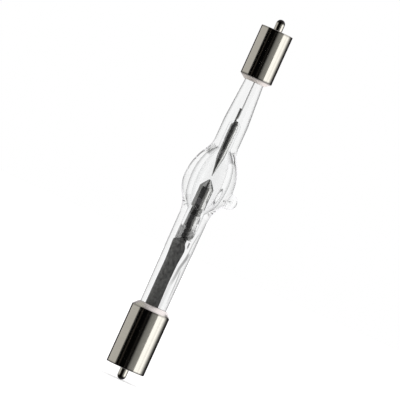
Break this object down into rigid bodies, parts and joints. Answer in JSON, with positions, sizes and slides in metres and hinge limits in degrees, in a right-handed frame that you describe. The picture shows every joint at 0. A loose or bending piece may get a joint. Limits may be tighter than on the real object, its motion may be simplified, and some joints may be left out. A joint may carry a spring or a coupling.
{
  "type": "xenon short-arc lamp",
  "caption": "Short-arc xenon lamp: thick quartz bulb with a sealed-off exhaust tip, pointed tungsten electrodes on sealing foils, and a plated sleeve base with a round-ended pin at each end.",
  "frame": {"origin": "centre of the anode base's outer end face, where the pin leaves it", "axes": "+Z along the lamp from the anode base to the cathode base, +X towards the sealed-off exhaust tip"},
  "size_m": [0.0134, 0.0116, 0.0871],
  "materials": {
    "quartz": "gloss",
    "tungsten": "satin",
    "molybdenum": "satin",
    "solder": "satin",
    "cement": "matte",
    "nickel_plate": "polished"
  },
  "bodies": {
    "root": {"quartz_envelope": "quartz", "anode_head": "tungsten", "anode_rod": "tungsten", "anode_rod_wrap": "molybdenum", "anode_foil": "molybdenum", "anode_lead": "molybdenum", "anode_solder": "solder", "anode_cement": "cement", "anode_base": "nickel_plate", "cathode": "tungsten", "cathode_rod_wrap": "molybdenum", "cathode_foil": "molybdenum", "cathode_lead": "molybdenum", "cathode_solder": "solder", "cathode_cement": "cement", "cathode_base": "nickel_plate"}
  },
  "joints": []
}
